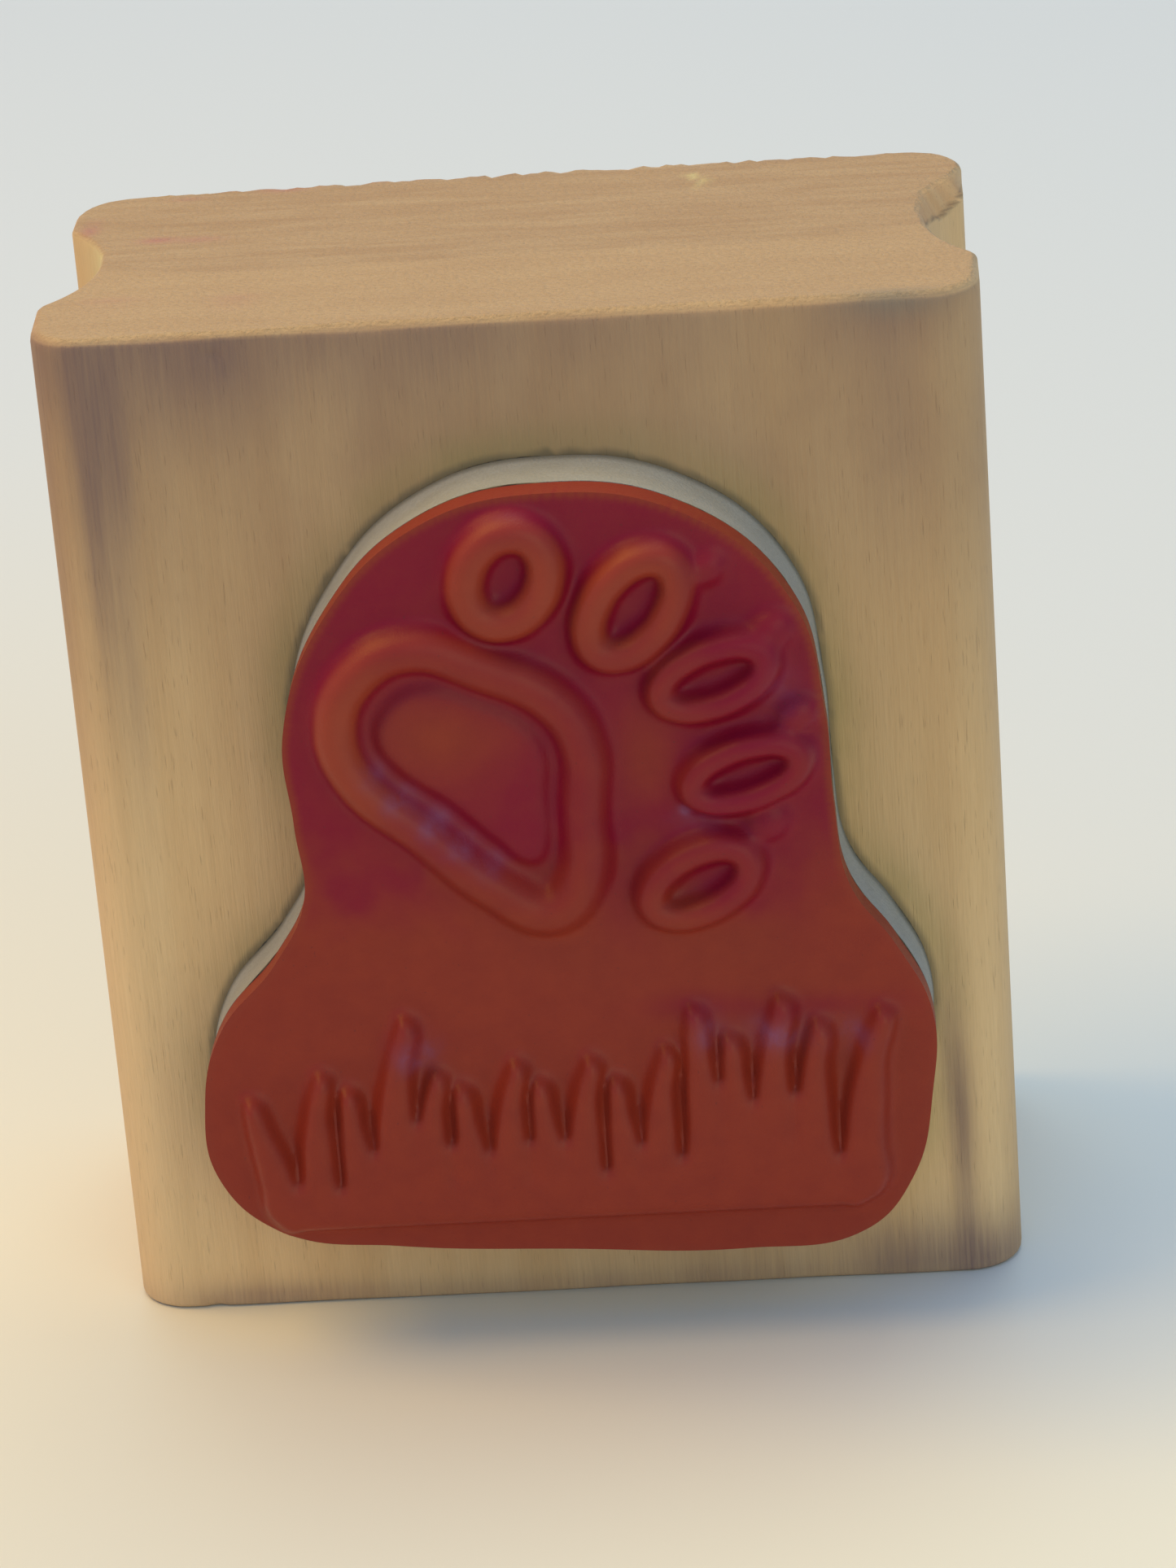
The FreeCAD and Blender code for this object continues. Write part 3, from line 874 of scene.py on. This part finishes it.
def mound(name, across, up_block, long_half, short_half, height, lean_angle):
    """A low oval mound on the sheet."""
    bpy.ops.object.select_all(action="DESELECT")
    bpy.ops.mesh.primitive_uv_sphere_add(segments=32, ring_count=16, radius=1)
    hill = bpy.context.object
    hill.name = name
    bpy.ops.object.mode_set(mode="EDIT")
    bpy.ops.mesh.select_all(action="SELECT")
    bpy.ops.transform.resize(value=(long_half * MM, height * MM, short_half * MM))
    bpy.ops.transform.rotate(value=lean_angle, orient_axis="Y", center_override=(0, 0, 0))
    bpy.ops.transform.translate(value=(across * MM, sheet_y, up_block * MM))
    bpy.ops.object.mode_set(mode="OBJECT")
    return hill


def raised(name, points, top, steps, bevel):
    """A flat-topped shape that stands on the sheet, its edge rolled over."""
    thickness = (top + SINK) * MM
    plate = flat_outline(name, points, thickness, steps, bevel * MM)
    move_mesh(plate, (0, sheet_y - top * MM + thickness / 2, 0))
    return plate


parts = []
sheet_points = toward(CUT, BLANK_SHARE)
sheet_plate = flat_outline("sheet", sheet_points, BLANK_THICKNESS, OUTLINE_STEPS)
move_mesh(sheet_plate, (0, sheet_y + BLANK_THICKNESS / 2, 0))
parts.append(sheet_plate)

ridge_line = [((a + c) / 2, (b + d) / 2) for (a, b), (c, d) in zip(PAD_OUTER, PAD_INNER)]
ridge_radii = [math.dist(outer, inner) / 2 for outer, inner in zip(PAD_OUTER, PAD_INNER)]
ridge_radii = [0.5 * radius + 0.5 * RIDGE_RADIUS for radius in ridge_radii]
parts.append(rolled_ridge("pad_ridge", ridge_line, ridge_radii, RELIEF))
parts.append(raised("pad_step", PAD_STEP, STEP_HEIGHT, 8, 0.2))

for toe_index, (across, up_block, long_half, short_half, degrees) in enumerate(TOES):
    roll = min(TOE_ROLL, TOE_ROLL_SHARE * short_half)
    turn = math.radians(degrees)
    ring = []
    for step in range(RING_POINTS):
        angle = 2 * math.pi * step / RING_POINTS
        along = (long_half - roll) * math.cos(angle)
        side = (short_half - roll) * math.sin(angle)
        ring.append((across + along * math.cos(turn) - side * math.sin(turn),
                     up_block + along * math.sin(turn) + side * math.cos(turn)))
    parts.append(rolled_ridge(f"toe_{toe_index}", ring, [roll] * len(ring), RELIEF))
    parts.append(mound(f"toe_floor_{toe_index}", across, up_block, long_half * TOE_FLOOR_SHARE,
                       short_half * TOE_FLOOR_SHARE, TOE_FLOOR_HEIGHT, turn))
for claw_index, (across, up_block, half, height) in enumerate(CLAWS):
    parts.append(mound(f"claw_{claw_index}", across, up_block, half, half * 0.8, height, 0.6))

for blade_index, (foot, tip, height, width) in enumerate(BLADES):
    bow = 0.12 * height * (1 if tip > foot else -1)
    outline = []
    for share, half in ((0.0, 0.36), (0.35, 0.50), (0.72, 0.34), (1.0, 0.05)):
        middle = foot + (tip - foot) * share - bow * share * (1 - share)
        outline.append((middle + half * width, GRASS_FOOT + height * share))
    for share, half in ((0.95, 0.10), (0.72, 0.34), (0.35, 0.50), (0.0, 0.36)):
        middle = foot + (tip - foot) * share - bow * share * (1 - share)
        outline.append((middle - half * width, GRASS_FOOT + height * share))
    parts.append(raised(f"blade_{blade_index}", outline, GRASS_HEIGHT, 5, 0.15))

# a low strip of ground joins the feet of the blades
GROUND_LINE = (-15.6, -14.4, -8.0, 0.0, 8.0, 15.4, 16.6)
ground = [(x, GRASS_FOOT + GROUND_ABOVE) for x in GROUND_LINE]
ground += [(x, GRASS_FOOT - GROUND_BELOW) for x in reversed(GROUND_LINE)]
parts.append(raised("ground", ground, GRASS_HEIGHT, 6, 0.15))

bpy.ops.object.select_all(action="DESELECT")
for part in parts:
    part.select_set(True)
bpy.context.view_layer.objects.active = sheet_plate
bpy.ops.object.join()
die = bpy.context.object
die.name = "red_rubber_die"


def stretch_depth(piece, share):
    """Flattens or draws out a piece's depth, about the face of the sheet."""
    bpy.ops.object.select_all(action="DESELECT")
    piece.select_set(True)
    bpy.context.view_layer.objects.active = piece
    bpy.ops.object.mode_set(mode="EDIT")
    bpy.ops.mesh.select_all(action="SELECT")
    bpy.ops.transform.resize(value=(1, share, 1), center_override=(0, sheet_y, 0))
    bpy.ops.object.mode_set(mode="OBJECT")


stretch_depth(die, FLATTEN)
melt = die.modifiers.new("melt", "REMESH")
melt.mode = "VOXEL"
melt.voxel_size = VOXEL
soften = die.modifiers.new("soften", "SMOOTH")
soften.iterations = SOFTENING
soften.factor = 0.5
bpy.ops.object.modifier_apply(modifier="melt")
bpy.ops.object.modifier_apply(modifier="soften")
stretch_depth(die, DRAW_OUT)

knife = flat_outline("knife", CUT, KNIFE_REACH, OUTLINE_STEPS)
move_mesh(knife, (0, die_back - KNIFE_REACH / 2, 0))
trim = die.modifiers.new("trim", "BOOLEAN")
trim.operation = "INTERSECT"
trim.object = knife
trim.solver = "EXACT"
bpy.ops.object.select_all(action="DESELECT")
die.select_set(True)
bpy.context.view_layer.objects.active = die
bpy.ops.object.modifier_apply(modifier="trim")
bpy.data.objects.remove(knife)
bpy.ops.object.shade_smooth_by_angle(angle=math.radians(42))

CRIMSON = [  # across, up, half width, half height, strength: wet-looking dried ink, or its lack
    (11.8, 43.3, 2.6, 3.0, 0.75),
    (12.6, 37.3, 2.4, 2.2, 0.55),
    (10.6, 32.4, 3.4, 1.6, 0.55),
    (2.0, 49.6, 7.0, 1.4, 0.35),
    (-10.0, 46.0, 2.0, 4.0, 0.30),
    (4.6, 27.5, 1.6, 3.0, 0.45),
    (0.5, 32.5, 1.8, 3.6, 0.55),
    (14.0, 28.0, 1.8, 3.4, 0.35),
    (8.1, 20.7, 2.8, 0.8, 0.45),
    (14.4, 20.3, 5.6, 0.7, 0.50),
    (-7.6, 19.6, 1.4, 1.2, 0.30),
    (-0.3, 46.2, 0.9, 1.3, 0.30),
    (6.3, 44.2, 0.9, 1.5, 0.35),
    (10.2, 40.1, 1.8, 0.8, 0.45),
    (11.6, 34.6, 1.8, 0.8, 0.45),
    (8.8, 28.3, 1.8, 1.0, 0.50),
    (6.3, 35.5, 1.7, 3.0, -0.80),
    (-4.6, 37.4, 4.0, 2.6, -0.75),
    (-8.8, 30.4, 2.4, 1.2, -0.25),
]
PAINTED_SHEEN = [  # the same, for a painted sheen: pale purple highlights on the ink along the pad ridge's inner wall, on grass tops and by the toes
    (-8.3, 35.6, 0.7, 0.7, 0.40),
    (-6.9, 34.1, 0.9, 0.7, 0.55),
    (-5.3, 32.6, 0.9, 0.7, 0.60),
    (-3.8, 31.2, 0.9, 0.6, 0.60),
    (-2.4, 30.0, 0.8, 0.6, 0.45),
    (-7.4, 18.7, 0.9, 0.9, 0.75),
    (8.6, 19.2, 0.9, 1.0, 0.35),
    (12.4, 18.9, 1.4, 0.8, 0.70),
    (16.4, 18.6, 1.0, 0.8, 0.45),
    (13.6, 39.0, 1.2, 1.4, 0.25),
    (8.9, 31.7, 1.2, 0.6, 0.35),
    (8.2, 32.4, 0.3, 0.3, 1.10),
]
WIPED_AND_HIGHLIT = [  # the same, for proud rubber wiped clean of ink, and for a painted highlight on the raised tops at the upper left
    (-9.6, 38.0, 3.6, 5.5, 0.90),
    (-0.8, 46.6, 4.0, 4.0, 0.95),
    (6.0, 45.2, 4.0, 3.4, 0.80),
    (-4.0, 37.4, 5.0, 3.0, 0.40),
]
ink_film = []
sheen_paint = []
cut_rim = []
highlit_tops = []
for vertex in die.data.vertices:
    place = vertex.co
    lift = smooth_step(sheet_y - place.y, 0.25 * MM, 0.95 * MM)
    wander = 3.0 * noise.noise(Vector((place.x / (4.5 * MM), 0.3, place.z / (4.5 * MM))))
    wander += 1.2 * noise.noise(Vector((place.x / (1.3 * MM), 7.3, place.z / (1.3 * MM))))
    film_share = smooth_step(place.z / MM + wander, 25.5, 30.5)
    film_share *= 0.62 + 0.38 * smooth_step(place.z / MM + 2 * wander, 28, 33)
    wiped = min(0.42 + marks(WIPED_AND_HIGHLIT, place.x, place.z), 0.95)
    film_share = film_share * (1 - wiped * lift) + marks(CRIMSON, place.x, place.z)
    # painted highlight: a lighter orange on the raised tops at the upper left
    highlit_tops.append(min(marks(WIPED_AND_HIGHLIT, place.x, place.z), 1) * lift)
    inside = smooth_step(-outside_cut(place), 0.05 * MM, 0.60 * MM)
    ink_film.append(min(max(film_share, 0), 1) * inside)
    # painted sheen: pale purple highlights on the ink
    sheen_paint.append(marks(PAINTED_SHEEN, place.x, place.z))
    cut_rim.append(1 - inside)
paint(die, "ink_film", ink_film)
paint(die, "sheen_paint", sheen_paint)
paint(die, "cut_rim", cut_rim)
paint(die, "highlit_tops", highlit_tops)

rubber, rubber_shader = new_material("red_rubber", 0.42, 0.26)
tree = rubber.node_tree
mottle = add_patches(tree, (1.6, 1.6, 1.6), 4.0, 0.36, 0.66, 1.1)
grit = add_patches(tree, (0.12, 0.12, 0.12), 2.0, 0.35, 0.65, 6.1)
specks = add_patches(tree, (0.22, 0.22, 0.22), 1.0, 0.74, 0.80, 3.3)
dull = worked(tree, "MULTIPLY", mottle["Mask"], 0.40)
colour = tinted(tree, (0.275, 0.029, 0.013), dull, (0.225, 0.021, 0.013))
cut_edge = worked(tree, "MULTIPLY", attribute(tree, "cut_rim"), 0.30)
colour = tinted(tree, colour, cut_edge, (0.270, 0.040, 0.020))
# painted highlight: lighter orange laid on the raised tops at the upper left
highlight_mask = worked(tree, "MULTIPLY", attribute(tree, "highlit_tops"), 0.40)
colour = tinted(tree, colour, highlight_mask, (0.420, 0.070, 0.030))
film_mask = worked(tree, "ADD", 0.72, worked(tree, "MULTIPLY", mottle["Plain"], 0.45))
film_mask = worked(tree, "MULTIPLY", attribute(tree, "ink_film"), film_mask)
colour = tinted(tree, colour, film_mask, (0.225, 0.0015, 0.021))
# painted sheen: pale purple highlights on the ink's slopes and the grass tops
sheen_mask = worked(tree, "MULTIPLY", attribute(tree, "sheen_paint"), worked(tree, "ADD", 0.3, mottle["Mask"]))
colour = tinted(tree, colour, sheen_mask, (0.235, 0.072, 0.155))
colour = tinted(tree, colour, worked(tree, "MULTIPLY", specks["Mask"], 0.35), (0.10, 0.02, 0.02))
join(tree, colour, rubber_shader.inputs["Base Color"])
rough = worked(tree, "ADD", 0.36, worked(tree, "MULTIPLY", mottle["Plain"], 0.20))
join(tree, rough, rubber_shader.inputs["Roughness"])
bumped(tree, rubber_shader, worked(tree, "ADD", grit["Plain"], mottle["Plain"]), 0.03 * MM, 0.5)
die.data.materials.clear()
die.data.materials.append(rubber)
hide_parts("rubber_die")
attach(die, "die")
